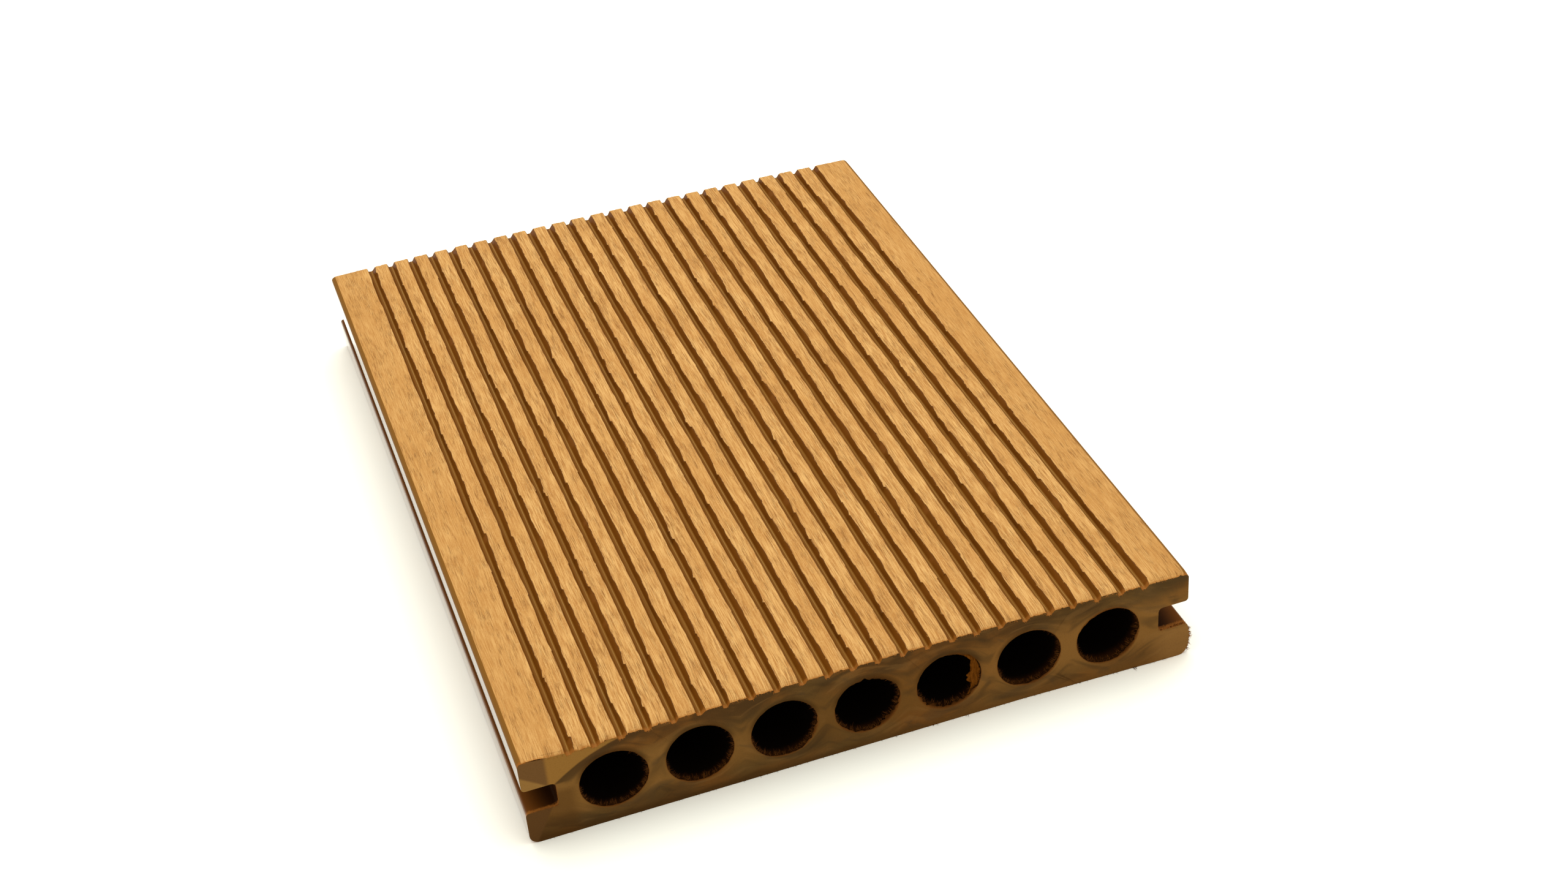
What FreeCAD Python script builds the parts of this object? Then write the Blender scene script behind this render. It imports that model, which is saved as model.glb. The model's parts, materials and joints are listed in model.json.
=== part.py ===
# Hollow decking board in wood-plastic composite, sawn to a short length.
#
# The board lies flat, grooved face up. X runs across its width, Y along its length and Z up.
# The origin is at the middle of the underside. All sizes are in millimetres.
import FreeCAD, Part
import Sketcher
import math
import os

# Driving sizes
SIZES = {
    # The block that the board is sawn from
    "board_width": 146.0,
    "board_length": 200.0,
    "board_thickness": 22.5,
    # Walls around the round bores that run the whole length
    "roof_wall": 4.2,
    "floor_wall": 3.6,
    "bore_web": 3.4,
    "side_wall_least": 4.0,
    # Slot in each long edge that takes the fixing clips
    "slot_height": 6.0,
    "slot_depth": 7.0,
    "slot_root_radius": 1.0,
    # Fine grooves in the walking face, between two plain bands along its edges
    "groove_pitch": 5.44,
    "groove_width": 2.3,
    "groove_floor_width": 0.9,
    "groove_depth": 1.3,
    "edge_band_least": 9.0,
    # Rounded long edges
    "top_edge_radius": 1.3,
    "slot_mouth_radius": 0.8,
    "bottom_edge_radius": 2.0,
    # How far a cut runs past the face that it opens
    "cut_overrun": 1.0,
}

# Sizes that follow from the driving sizes, as the sheet's own expressions
HALF_WIDTH = "Sizes.board_width / 2"
MID_HEIGHT = "Sizes.board_thickness / 2"
BORE_DIAMETER = "(Sizes.board_thickness - Sizes.roof_wall - Sizes.floor_wall)"
BORE_HEIGHT = f"(Sizes.floor_wall + {BORE_DIAMETER} / 2)"
BORE_PITCH = f"({BORE_DIAMETER} + Sizes.bore_web)"
BORE_SPAN = "(Sizes.board_width - 2 * (Sizes.slot_depth + Sizes.side_wall_least))"
BORE_COUNT = f"floor(({BORE_SPAN} + Sizes.bore_web) / {BORE_PITCH})"
GROOVE_SPAN = "(Sizes.board_width - 2 * Sizes.edge_band_least - Sizes.groove_width)"
GROOVE_COUNT = f"(floor({GROOVE_SPAN} / Sizes.groove_pitch) + 1)"

# How near an edge's middle lies to the place where it is looked for
EDGE_TOLERANCE = 0.01


def make_sheet(doc):
    """Write the driving sizes into a spreadsheet, one named cell for each."""
    sheet = doc.addObject("Spreadsheet::Sheet", "Sizes")
    for row, (name, value) in enumerate(SIZES.items(), start=1):
        sheet.set(f"A{row}", name)
        sheet.set(f"B{row}", str(value))
        sheet.setAlias(f"B{row}", name)
    doc.recompute()
    return sheet


def section_sketch(body, name):
    """Start a sketch on the board's cross plane: across is X, up is Z."""
    cross_plane = next(plane for plane in body.Origin.OriginFeatures if plane.Role == "XZ_Plane")
    sketch = body.newObject("Sketcher::SketchObject", name)
    sketch.AttachmentSupport = (cross_plane, "")
    sketch.MapMode = "FlatFace"
    return sketch


def hold_point(sketch, geometry, point, across, up):
    """Hold a sketch point at the expressions for its place across the board and above the underside."""
    for direction, expression in (("DistanceX", across), ("DistanceY", up)):
        start_value = float(sketch.evalExpression(expression))
        rule = Sketcher.Constraint(direction, -1, 1, geometry, point, start_value)
        index = sketch.addConstraint(rule)
        sketch.setExpression(f"Constraints[{index}]", expression)


def draw_polygon(sketch, corners):
    """Draw a closed outline whose corners are pairs of expressions (across, up)."""
    places = []
    for across, up in corners:
        x_start = float(sketch.evalExpression(across))
        z_start = float(sketch.evalExpression(up))
        places.append(FreeCAD.Vector(x_start, z_start, 0))
    sides = []
    for start, end in zip(places, places[1:] + places[:1]):
        sides.append(sketch.addGeometry(Part.LineSegment(start, end), False))
    for side, following in zip(sides, sides[1:] + sides[:1]):
        sketch.addConstraint(Sketcher.Constraint("Coincident", side, 2, following, 1))
    for side, (across, up) in zip(sides, corners):
        hold_point(sketch, side, 1, across, up)


def cut_through(body, sketch, name):
    """Cut a sketch through the whole length of the board, and check that the cut takes material away."""
    body.Document.recompute()
    volume_before = body.Shape.Volume
    cut = body.newObject("PartDesign::Pocket", name)
    cut.Profile = sketch
    cut.Type = "ThroughAll"
    cut.Midplane = True
    body.Document.recompute()
    if body.Shape.Volume >= volume_before:
        raise RuntimeError(f"{name} cuts nothing")
    return cut


def repeat_across(body, sketch, feature, name, count, pitch):
    """Repeat a cut across the board, from its first place on the -X side towards +X."""
    pattern = body.newObject("PartDesign::LinearPattern", name)
    pattern.Originals = [feature]
    pattern.Direction = (sketch, ["H_Axis"])
    pattern.Mode = "Spacing"
    pattern.setExpression("Offset", pitch)
    pattern.setExpression("Occurrences", count)
    body.Tip = pattern
    body.Document.recompute()
    return pattern


def lengthwise_edges(shape, places):
    """Name the edges that run along the board through the given places (across, up)."""
    names = []
    for number, edge in enumerate(shape.Edges, start=1):
        middle = edge.BoundBox.Center
        runs_along = edge.BoundBox.YLength > max(edge.BoundBox.XLength, edge.BoundBox.ZLength)
        for across, up in places:
            if runs_along and math.hypot(middle.x - across, middle.z - up) < EDGE_TOLERANCE:
                names.append(f"Edge{number}")
    return names


def round_edges(body, name, places, radius):
    """Round the lengthwise edges on both sides of the board, given by (expression across, up)."""
    values = []
    for across, up in places:
        across_value = float(body.evalExpression(across))
        up_value = float(body.evalExpression(up))
        values += [(across_value, up_value), (-across_value, up_value)]
    base = body.Tip
    names = lengthwise_edges(base.Shape, values)
    if len(names) != len(values):
        raise RuntimeError(f"{name}: {len(names)} edges found where {len(values)} are meant")
    fillet = body.newObject("PartDesign::Fillet", name)
    fillet.Base = (base, names)
    fillet.setExpression("Radius", radius)
    body.Tip = fillet
    body.Document.recompute()
    return fillet


def add_block(body):
    """The full block: its section across the board, drawn out to the length."""
    section = section_sketch(body, "BlockSection")
    corners = [
        (f"-{HALF_WIDTH}", "0"),
        (HALF_WIDTH, "0"),
        (HALF_WIDTH, "Sizes.board_thickness"),
        (f"-{HALF_WIDTH}", "Sizes.board_thickness"),
    ]
    draw_polygon(section, corners)
    block = body.newObject("PartDesign::Pad", "Block")
    block.Profile = section
    block.Midplane = True
    block.setExpression("Length", "Sizes.board_length")
    body.Document.recompute()


def add_slots(body):
    """One slot at mid-height in each long edge, open to the side and at both ends."""
    root = f"{HALF_WIDTH} - Sizes.slot_depth"
    outside = f"{HALF_WIDTH} + Sizes.cut_overrun"
    lower = f"{MID_HEIGHT} - Sizes.slot_height / 2"
    upper = f"{MID_HEIGHT} + Sizes.slot_height / 2"
    sketch = section_sketch(body, "SlotSection")
    draw_polygon(sketch, [(root, lower), (outside, lower), (outside, upper), (root, upper)])
    draw_polygon(sketch, [
        (f"-({root})", lower),
        (f"-({root})", upper),
        (f"-({outside})", upper),
        (f"-({outside})", lower),
    ])
    cut_through(body, sketch, "Slots")
    round_edges(body, "SlotRootRounding", [(root, lower), (root, upper)], "Sizes.slot_root_radius")
    mouth = [(HALF_WIDTH, lower), (HALF_WIDTH, upper)]
    round_edges(body, "SlotMouthRounding", mouth, "Sizes.slot_mouth_radius")


def round_long_edges(body):
    """The rounded long edges of the walking face and of the underside."""
    round_edges(body, "TopEdgeRounding", [(HALF_WIDTH, "Sizes.board_thickness")], "Sizes.top_edge_radius")
    round_edges(body, "BottomEdgeRounding", [(HALF_WIDTH, "0")], "Sizes.bottom_edge_radius")


def add_bores(body):
    """The row of round bores between the roof and floor walls, as many as the width leaves room for."""
    first_bore = f"-({BORE_COUNT} - 1) * {BORE_PITCH} / 2"
    sketch = section_sketch(body, "BoreSection")
    centre = FreeCAD.Vector(sketch.evalExpression(first_bore), sketch.evalExpression(BORE_HEIGHT), 0)
    radius = float(sketch.evalExpression(BORE_DIAMETER)) / 2
    circle = sketch.addGeometry(Part.Circle(centre, FreeCAD.Vector(0, 0, 1), radius), False)
    hold_point(sketch, circle, 3, first_bore, BORE_HEIGHT)
    index = sketch.addConstraint(Sketcher.Constraint("Diameter", circle, 2 * radius))
    sketch.setExpression(f"Constraints[{index}]", BORE_DIAMETER)
    bore = cut_through(body, sketch, "Bore")
    repeat_across(body, sketch, bore, "Bores", BORE_COUNT, BORE_PITCH)


def add_grooves(body):
    """The fine grooves of the walking face: sloping sides and a narrow flat floor."""
    middle = f"-({GROOVE_COUNT} - 1) * Sizes.groove_pitch / 2"
    floor = "Sizes.board_thickness - Sizes.groove_depth"
    mouth = "Sizes.board_thickness"
    above = "Sizes.board_thickness + Sizes.cut_overrun"
    half_floor = "Sizes.groove_floor_width / 2"
    half_mouth = "Sizes.groove_width / 2"
    sketch = section_sketch(body, "GrooveSection")
    draw_polygon(sketch, [
        (f"{middle} - {half_floor}", floor),
        (f"{middle} + {half_floor}", floor),
        (f"{middle} + {half_mouth}", mouth),
        (f"{middle} + {half_mouth}", above),
        (f"{middle} - {half_mouth}", above),
        (f"{middle} - {half_mouth}", mouth),
    ])
    groove = cut_through(body, sketch, "Groove")
    repeat_across(body, sketch, groove, "Grooves", GROOVE_COUNT, "Sizes.groove_pitch")


def make_board(doc):
    """The whole board as one body."""
    body = doc.addObject("PartDesign::Body", "board")
    body.Label = "board"
    add_block(body)
    add_slots(body)
    round_long_edges(body)
    add_bores(body)
    add_grooves(body)
    return body


def check_document(doc, bodies):
    """Stop when any object of the document failed or a piece has no sound solid."""
    for item in doc.Objects:
        if "Invalid" in item.State or "Error" in item.State:
            raise RuntimeError(f"{item.Name} failed: {item.State}")
    for body in bodies:
        shape = body.Shape
        if shape.isNull() or not shape.isValid() or len(shape.Solids) != 1:
            raise RuntimeError(f"{body.Label} is not one sound solid")


def export_bodies(bodies):
    """Write each piece to its own file, named after the piece."""
    os.makedirs("parts", exist_ok=True)
    for body in bodies:
        body.Shape.exportStep(f"parts/{body.Label}.step")
        box = body.Shape.BoundBox
        print(body.Label)
        print(f"  size {box.XLength:.2f} x {box.YLength:.2f} x {box.ZLength:.2f} mm")
        print(f"  volume {body.Shape.Volume:.0f} cubic mm")


document = FreeCAD.newDocument("decking_board")
make_sheet(document)
board = make_board(document)
document.recompute()
check_document(document, [board])
print("bores", int(board.evalExpression(BORE_COUNT)), "grooves", int(board.evalExpression(GROOVE_COUNT)))
export_bodies([board])
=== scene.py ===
# %% [markdown]
# # A hollow decking board, brushed on top and sawn at both ends
#
# The real board is one extrusion of wood fibre and plastic. The die gives it a smooth, glossy, dark
# skin, seven round bores, a clip slot in each long edge and the fine grooves of the walking face. A
# brush then wears the skin off the top of the ribs, which turns them pale and matt and lets their edges
# wander. A saw cuts the board to length and leaves a dull, dark face, with torn fibres round every
# opening.
#
# The lesson follows that history: an exact profile pulled along the board, edges that wander, rough sawn
# ends, loose fibres, and one material for each of the ways in which the surface was made.

import json
import math
import random

import bmesh
import bpy
import numpy as np
from mathutils import Matrix, Vector, noise


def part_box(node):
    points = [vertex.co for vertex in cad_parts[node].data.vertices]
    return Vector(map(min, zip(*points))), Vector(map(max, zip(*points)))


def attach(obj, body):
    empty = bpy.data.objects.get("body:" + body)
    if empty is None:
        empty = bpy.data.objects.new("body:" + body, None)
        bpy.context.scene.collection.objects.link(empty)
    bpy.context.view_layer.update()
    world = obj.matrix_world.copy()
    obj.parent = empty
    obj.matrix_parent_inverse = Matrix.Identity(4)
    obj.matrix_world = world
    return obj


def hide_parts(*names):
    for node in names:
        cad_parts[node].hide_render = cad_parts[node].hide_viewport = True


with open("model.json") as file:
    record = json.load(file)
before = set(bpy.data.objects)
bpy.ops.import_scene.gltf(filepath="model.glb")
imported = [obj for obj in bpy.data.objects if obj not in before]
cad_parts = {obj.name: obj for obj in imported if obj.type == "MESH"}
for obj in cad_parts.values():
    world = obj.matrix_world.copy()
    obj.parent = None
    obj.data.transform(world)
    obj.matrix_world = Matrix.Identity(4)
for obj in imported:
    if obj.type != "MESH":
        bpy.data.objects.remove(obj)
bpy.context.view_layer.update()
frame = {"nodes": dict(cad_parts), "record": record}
MM = 0.001
print("frame nodes:", sorted(frame["nodes"]))

# %% [markdown]
# ## Sizes
#
# The frame already knows how large the board is and where its bores run, so those values are read from
# it. The slots, grooves and rounded edges are those of the solid model, written once here in millimetres
# and turned into metres. Every later step works from these names. Two small distances say when two
# places count as one.

# %% Sizes of the board
low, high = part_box("board")
HALF_WIDTH = high.x
THICKNESS = high.z
NEAR_END = low.y
FAR_END = high.y
BORES = [mount for mount in frame["record"]["mounts"] if mount["kind"] == "bore"]
BORE_RADIUS = BORES[0]["dims"]["r_mm"] * MM
BORE_HEIGHT = BORES[0]["pos_m"][2]
BORE_PLACES = sorted(bore["pos_m"][0] for bore in BORES)
BORE_PITCH = BORE_PLACES[1] - BORE_PLACES[0]

SLOT_HEIGHT = 6.0 * MM
SLOT_DEPTH = 7.0 * MM
SLOT_LOW = THICKNESS / 2 - SLOT_HEIGHT / 2
SLOT_HIGH = THICKNESS / 2 + SLOT_HEIGHT / 2
SLOT_ROOT = HALF_WIDTH - SLOT_DEPTH

GROOVE_COUNT = 24
GROOVE_PITCH = 5.44 * MM
GROOVE_WIDTH = 2.3 * MM
GROOVE_FLOOR_WIDTH = 0.9 * MM
GROOVE_DEPTH = 1.3 * MM
FIRST_GROOVE = -(GROOVE_COUNT - 1) / 2 * GROOVE_PITCH
GROOVE_PLACES = [FIRST_GROOVE + i * GROOVE_PITCH for i in range(GROOVE_COUNT)]
# The plain bands along both long edges are wider than this
EDGE_BAND = 8.0 * MM
# How near two places have to be to count as one, and how near vertices are when they are merged
SAME_PLACE = 0.01 * MM
WELD = 0.001 * MM
print(len(BORE_PLACES), "bores and", len(GROOVE_PLACES), "grooves")

# %% [markdown]
# ## The profile
#
# A die profile is a closed line. It could be a curve, but a bmesh line keeps every corner where it is
# wanted. The line is drawn as a person would draw it in edit mode: one vertex is extruded from place to
# place, up one side, back over the grooves and down the other side. The last vertex lands on the first
# one and the two are merged.

# %% Draw the profile as one closed line
def draw_line(bm, places):
    """Extrude one vertex through a list of (across, up) places."""
    tip = bm.verts.new((places[0][0], NEAR_END, places[0][1]))
    for across, up in places[1:]:
        tip = bmesh.ops.extrude_vert_indiv(bm, verts=[tip])["verts"][0]
        tip.co = (across, NEAR_END, up)


def side_places(side):
    """The corners of one long edge from the underside up to the walking face; side is -1 or 1."""
    return [
        (side * HALF_WIDTH, 0.0),
        (side * HALF_WIDTH, SLOT_LOW),
        (side * SLOT_ROOT, SLOT_LOW),
        (side * SLOT_ROOT, SLOT_HIGH),
        (side * HALF_WIDTH, SLOT_HIGH),
        (side * HALF_WIDTH, THICKNESS),
    ]


def groove_places(centre):
    """The corners of one groove, from +X to -X."""
    floor_height = THICKNESS - GROOVE_DEPTH
    return [
        (centre + GROOVE_WIDTH / 2, THICKNESS),
        (centre + GROOVE_FLOOR_WIDTH / 2, floor_height),
        (centre - GROOVE_FLOOR_WIDTH / 2, floor_height),
        (centre - GROOVE_WIDTH / 2, THICKNESS),
    ]


profile = bmesh.new()
outline = side_places(1)
for centre in reversed(GROOVE_PLACES):
    outline += groove_places(centre)
outline += list(reversed(side_places(-1)))
draw_line(profile, outline + outline[:1])
bmesh.ops.remove_doubles(profile, verts=profile.verts[:], dist=WELD)
print("profile corners:", len(profile.verts))

# %% [markdown]
# ## Round the corners
#
# Extruded plastic has no knife edges. A vertex bevel turns each corner of the line into an arc, which
# costs far fewer faces than a bevel on the finished solid would. Each kind of corner has its own radius.
# The long line of the underside is cut into pieces, because one very long edge makes poor triangles in
# the sawn face.

# %% Bevel the corners of the profile
BOTTOM_EDGE_RADIUS = 2.0 * MM
TOP_EDGE_RADIUS = 1.3 * MM
SLOT_MOUTH_RADIUS = 0.8 * MM
SLOT_ROOT_RADIUS = 1.0 * MM
RIB_EDGE_RADIUS = 0.15 * MM
FLOOR_CORNER_RADIUS = 0.12 * MM
UNDERSIDE_CUTS = 11


def round_corners(bm, places, radius, segments):
    """Turn the profile's corners at these places into arcs."""
    corners = []
    for vert in bm.verts:
        for across, up in places:
            if math.hypot(vert.co.x - across, vert.co.z - up) < SAME_PLACE:
                corners.append(vert)
    bmesh.ops.bevel(bm, geom=corners, offset=radius, segments=segments, profile=0.5, affect="VERTICES",
                    material=-1, offset_type="OFFSET")


for side in (-1, 1):
    bottom, mouth_low, root_low, root_high, mouth_high, top = side_places(side)
    round_corners(profile, [bottom], BOTTOM_EDGE_RADIUS, 5)
    round_corners(profile, [mouth_low, mouth_high], SLOT_MOUTH_RADIUS, 4)
    round_corners(profile, [root_low, root_high], SLOT_ROOT_RADIUS, 3)
    round_corners(profile, [top], TOP_EDGE_RADIUS, 6)
for centre in GROOVE_PLACES:
    mouth_right, floor_right, floor_left, mouth_left = groove_places(centre)
    round_corners(profile, [mouth_right, mouth_left], RIB_EDGE_RADIUS, 1)
    round_corners(profile, [floor_right, floor_left], FLOOR_CORNER_RADIUS, 1)
underside = [edge for edge in profile.edges if edge.calc_length() > HALF_WIDTH]
bmesh.ops.subdivide_edges(profile, edges=underside, cuts=UNDERSIDE_CUTS)
print("profile vertices after rounding:", len(profile.verts))

# %% [markdown]
# ## The sawn end
#
# Each end is a flat face with seven holes. Triangle fill closes an outline with holes in it, but leaves
# long thin triangles. Poking adds a vertex in the middle of each large triangle, and beautify fill then
# turns the edges until the triangles are as regular as they can be. A few rounds give a face with enough
# vertices to be roughened, while its rim keeps the vertices of the profile. Halving long edges would
# leave flat slivers, which show up as black cracks once the face is rough.

# %% Fill the end and refine its faces
BORE_SIDES = 200
LARGEST_FACE = 0.7 * MM ** 2
POKE_ROUNDS = 10
BEAUTY_ROUNDS = 3


def add_ring(bm, place):
    """Draw one bore's circle at the near end and return its edges."""
    stand = Matrix.Translation((place, NEAR_END, BORE_HEIGHT)) @ Matrix.Rotation(math.pi / 2, 4, "X")
    ring = bmesh.ops.create_circle(bm, cap_ends=False, radius=BORE_RADIUS, segments=BORE_SIDES,
                                   matrix=stand)
    return list({edge for vert in ring["verts"] for edge in vert.link_edges})


end_face = profile.copy()
for place in BORE_PLACES:
    add_ring(end_face, place)
bmesh.ops.triangle_fill(end_face, use_beauty=True, use_dissolve=False, edges=end_face.edges[:])
for _ in range(POKE_ROUNDS):
    large = [face for face in end_face.faces if face.calc_area() > LARGEST_FACE]
    bmesh.ops.poke(end_face, faces=large)
    for _ in range(BEAUTY_ROUNDS):
        inner = [edge for edge in end_face.edges if not edge.is_boundary]
        bmesh.ops.beautify_fill(end_face, faces=end_face.faces[:], edges=inner, method="ANGLE")
print("faces of one sawn end:", len(end_face.faces))

# %% [markdown]
# ## Pull the profile into a board
#
# The whole length is one extrusion. Subdividing its long edges afterwards gives the slices that the
# wandering rib edges need; it is much quicker than extruding slice by slice. The slices are thin at the
# two ends, where the saw has torn the board. The bores only need slices near the ends, so they are
# extruded by a few unequal steps.

# %% Extrude the outline and the bores
SLICES = 284
END_SLICES = 8
END_SLICE = 0.25 * MM
MIDDLE_SLICE = (FAR_END - NEAR_END - 2 * END_SLICES * END_SLICE) / (SLICES - 2 * END_SLICES)


def slice_place(index):
    """How far along the board one slice lies."""
    if index <= END_SLICES:
        return NEAR_END + index * END_SLICE
    if index >= SLICES - END_SLICES:
        return FAR_END - (SLICES - index) * END_SLICE
    return NEAR_END + END_SLICES * END_SLICE + (index - END_SLICES) * MIDDLE_SLICE


SLICE_PLACES = [slice_place(index) for index in range(SLICES + 1)]
# How far behind the face the slices of the bores lie
RIM_STEPS = (0.0, 0.25 * MM, 0.7 * MM, 1.6 * MM, 4.0 * MM)


def pull(bm, edges, steps):
    """Extrude edges along the board, one step after another."""
    for step in steps:
        made = bmesh.ops.extrude_edge_only(bm, edges=edges)["geom"]
        verts = [item for item in made if isinstance(item, bmesh.types.BMVert)]
        edges = [item for item in made if isinstance(item, bmesh.types.BMEdge)]
        bmesh.ops.translate(bm, verts=verts, vec=(0, step, 0))


board = profile
pull(board, board.edges[:], [FAR_END - NEAR_END])
long_edges = [edge for edge in board.edges if abs(edge.verts[0].co.y - edge.verts[1].co.y) > MM]
bmesh.ops.subdivide_edges(board, edges=long_edges, cuts=SLICES - 1)
for vert in board.verts:
    index = round((vert.co.y - NEAR_END) / (FAR_END - NEAR_END) * SLICES)
    vert.co.y = SLICE_PLACES[index]

near_steps = [after - before for before, after in zip(RIM_STEPS, RIM_STEPS[1:])]
bore_steps = near_steps + [FAR_END - NEAR_END - 2 * RIM_STEPS[-1]] + near_steps[::-1]
for place in BORE_PLACES:
    pull(board, add_ring(board, place), bore_steps)
print("slices:", SLICES, "of", round(MIDDLE_SLICE / MM, 2), "mm")

# %% [markdown]
# ## Close the ends
#
# The end face is copied to both ends and welded to the rims. Only the rim vertices take part in the
# weld. After it, every edge of the board must lie between exactly two faces, so the open edges are
# counted.

# %% Weld the two ends on
cap_mesh = bpy.data.meshes.new("end_face")
end_face.to_mesh(cap_mesh)
end_face.free()
board.from_mesh(cap_mesh)
cap_mesh.transform(Matrix.Translation((0, FAR_END - NEAR_END, 0)))
board.from_mesh(cap_mesh)
for end in (NEAR_END, FAR_END):
    rim = [vert for vert in board.verts if abs(vert.co.y - end) < SAME_PLACE]
    bmesh.ops.remove_doubles(board, verts=rim, dist=WELD)
print("open edges:", sum(not edge.is_manifold for edge in board.edges))

# %% [markdown]
# ## Ribs that can fray
#
# The saw leaves a ragged line where it has cut through the ribs, but each rib is one face wide. The
# edges that cross a rib in the last millimetre are cut into short pieces, so that their vertices can be
# moved later. With the shape closed, the normals are turned outwards and every face learns how its
# surface was made.

# %% Cut the rib ends finely
RIB_CUTS = 9
BAND_CUTS = 24
# Edges on top that are shorter than this stay whole, and those longer than a rib cross a plain band
SHORTEST_CUT = 2.0 * MM
WIDEST_RIB = 4.0 * MM
# How many of the thin slices at each end can fray
RAGGED_SLICES = 3.5
end_verts = [vert for vert in board.verts if abs(vert.co.y) > FAR_END - RAGGED_SLICES * END_SLICE]
end_verts = {vert for vert in end_verts if vert.co.z > THICKNESS - SAME_PLACE}
crossings = {RIB_CUTS: [], BAND_CUTS: []}
for edge in {edge for vert in end_verts for edge in vert.link_edges}:
    first, second = edge.verts
    length = abs(first.co.x - second.co.x)
    if first in end_verts and second in end_verts and length > SHORTEST_CUT:
        crossings[RIB_CUTS if length < WIDEST_RIB else BAND_CUTS].append(edge)
for cuts, edges in crossings.items():
    bmesh.ops.subdivide_edges(board, edges=edges, cuts=cuts)
bmesh.ops.recalc_face_normals(board, faces=board.faces[:])
print("edges cut across the ribs:", sum(len(edges) for edges in crossings.values()))

# %% Sort the faces by the way in which their surface was made
BRUSHED, SKIN, GROOVE, SAWN, BORE_WALL = range(5)
TOP_LAYER = 0.1 * MM


def bore_offset(across, up):
    """The nearest bore's number, and the place's distance and angle from that bore's middle line."""
    number = round((across - BORE_PLACES[0]) / BORE_PITCH)
    number = min(max(number, 0), len(BORE_PLACES) - 1)
    sideways = across - BORE_PLACES[number]
    upwards = up - BORE_HEIGHT
    return number, math.hypot(sideways, upwards), math.atan2(upwards, sideways)


for face in board.faces:
    middle = face.calc_center_median()
    if abs(face.normal.y) > 0.5:
        face.material_index = SAWN
    elif middle.z > THICKNESS - TOP_LAYER:
        face.material_index = BRUSHED
    elif middle.z > THICKNESS - GROOVE_DEPTH - TOP_LAYER and abs(middle.x) < HALF_WIDTH - EDGE_BAND:
        face.material_index = GROOVE
    elif bore_offset(middle.x, middle.z)[1] < BORE_RADIUS + SAME_PLACE:
        face.material_index = BORE_WALL
    else:
        face.material_index = SKIN
    face.smooth = True
print("faces:", len(board.faces))

# %% [markdown]
# ## Edges that wander
#
# The brush eats into the ribs from one direction. Along the edge that it meets first the material creeps
# into the groove and then breaks away, so the edge looks like a worn saw blade; the other edge is only
# wavy. Each rib edge gets a slow drift from noise and a row of teeth. A tooth grows over a few
# millimetres and ends in one step. The vertex after the step slides towards the tip, which makes the
# step steeper than one slice. Nicks that are finer than a slice are left to the materials, which learn
# each edge's drift from a value stored on its vertices.

# %% Plan the drift of every rib edge
SLOW_WAVE = 11.0 * MM
FAST_WAVE = 2.2 * MM
# How much of one slice the vertex after a step slides towards the tip
STEP_SLIDE = 0.65
# The shortest and the longest tooth, in millimetres
TOOTH_LENGTHS = (1.2, 7.0)
# Even creep, slow drift, fast drift, tooth height and tooth spacing, for each side of a groove
SMOOTH_SIDE = (0.30 * MM, 0.24 * MM, 0.08 * MM, 0.10 * MM, 24.0 * MM)
TORN_SIDE = (-0.02 * MM, 0.36 * MM, 0.18 * MM, 0.18 * MM, 9.0 * MM)
teeth = []


def plan_edge(groove, side):
    """How far each slice's rib edge moves into the groove and along the board."""
    even, slow, fast, height, spacing = TORN_SIDE if side > 0 else SMOOTH_SIDE
    dice = random.Random(100 * groove + side)
    seed = 7.3 * groove + 3.1 * side
    creep = []
    for along in SLICE_PLACES:
        drift = even + slow * noise.noise(Vector((along / SLOW_WAVE, seed, 0.5)))
        drift += fast * noise.noise(Vector((along / FAST_WAVE, seed, 9.5)))
        creep.append(drift)
    slide = [0.0] * len(creep)
    along = NEAR_END + dice.uniform(0.3, 1.2) * spacing
    while along < FAR_END - 3 * MM:
        tip = min(range(len(creep)), key=lambda i: abs(SLICE_PLACES[i] - along))
        rise = height * dice.uniform(0.1, 1.0) ** 2 * 2.2
        length = dice.uniform(*TOOTH_LENGTHS) * MM
        for index in range(tip, len(creep)):
            share = 1 - (SLICE_PLACES[index] - SLICE_PLACES[tip]) / length
            if share <= 0:
                break
            creep[index] += rise * share ** 1.4
        slide[tip - 1] = STEP_SLIDE * (SLICE_PLACES[tip] - SLICE_PLACES[tip - 1])
        teeth.append((groove, side, tip))
        along += spacing * dice.uniform(0.15, 1.9)
    return creep, slide


edge_plans = {}
for groove in range(GROOVE_COUNT):
    for side in (-1, 1):
        edge_plans[groove, side] = plan_edge(groove, side)
print("teeth on the rib edges:", len(teeth))

# %% [markdown]
# ## Torn bores, a worn crown and a slanting cut
#
# The saw leaves a burr round each bore, heaviest at the lower right, where the blade left the material.
# The burrs are planned as arcs: from where to where they run and how far they stand into the opening.
# The walking face is a little crowned, and its near edge is rolled down, most of all at the left.
# Neither saw cut is quite square to the board, and the near one also leans, so that its foot stands out
# towards the right. One function moves any place of the perfect board to its worn place, so the fibres
# that are planted later land on it too.

# %% Sizes of the burrs and of the wear
# Start and end in degrees and depth in millimetres, one row of arcs for each bore of the near end
NEAR_BURRS = (
    ((-150, -20, 0.55), (20, 42, 0.35)),
    ((-140, -15, 0.60),),
    ((-120, -60, 0.55), (-62, 8, 1.00)),
    ((-160, -80, 0.70), (-90, 2, 1.60), (30, 118, 0.95)),
    ((-168, -70, 1.30), (-100, -30, 1.50), (52, 104, 0.75)),
    ((-120, -5, 1.00),),
    ((-130, -70, 0.50), (-85, -2, 1.35), (50, 165, 0.55)),
)
# The least burr anywhere on a rim
BURR_LEAST = 0.05 * MM
# How uneven the burr of each near bore is
RAGGEDNESS = (0.4, 0.4, 0.7, 1.0, 1.0, 0.35, 0.4)
# How far the walking face falls towards its long edges and how far its middle stands up
CROWN = 0.85 * MM
CROWN_MIDDLE = 0.2 * MM
# The height from which the crown begins to bend the board
CROWN_START = 15.0 * MM
ROLL_LENGTH = 2.4 * MM
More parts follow.
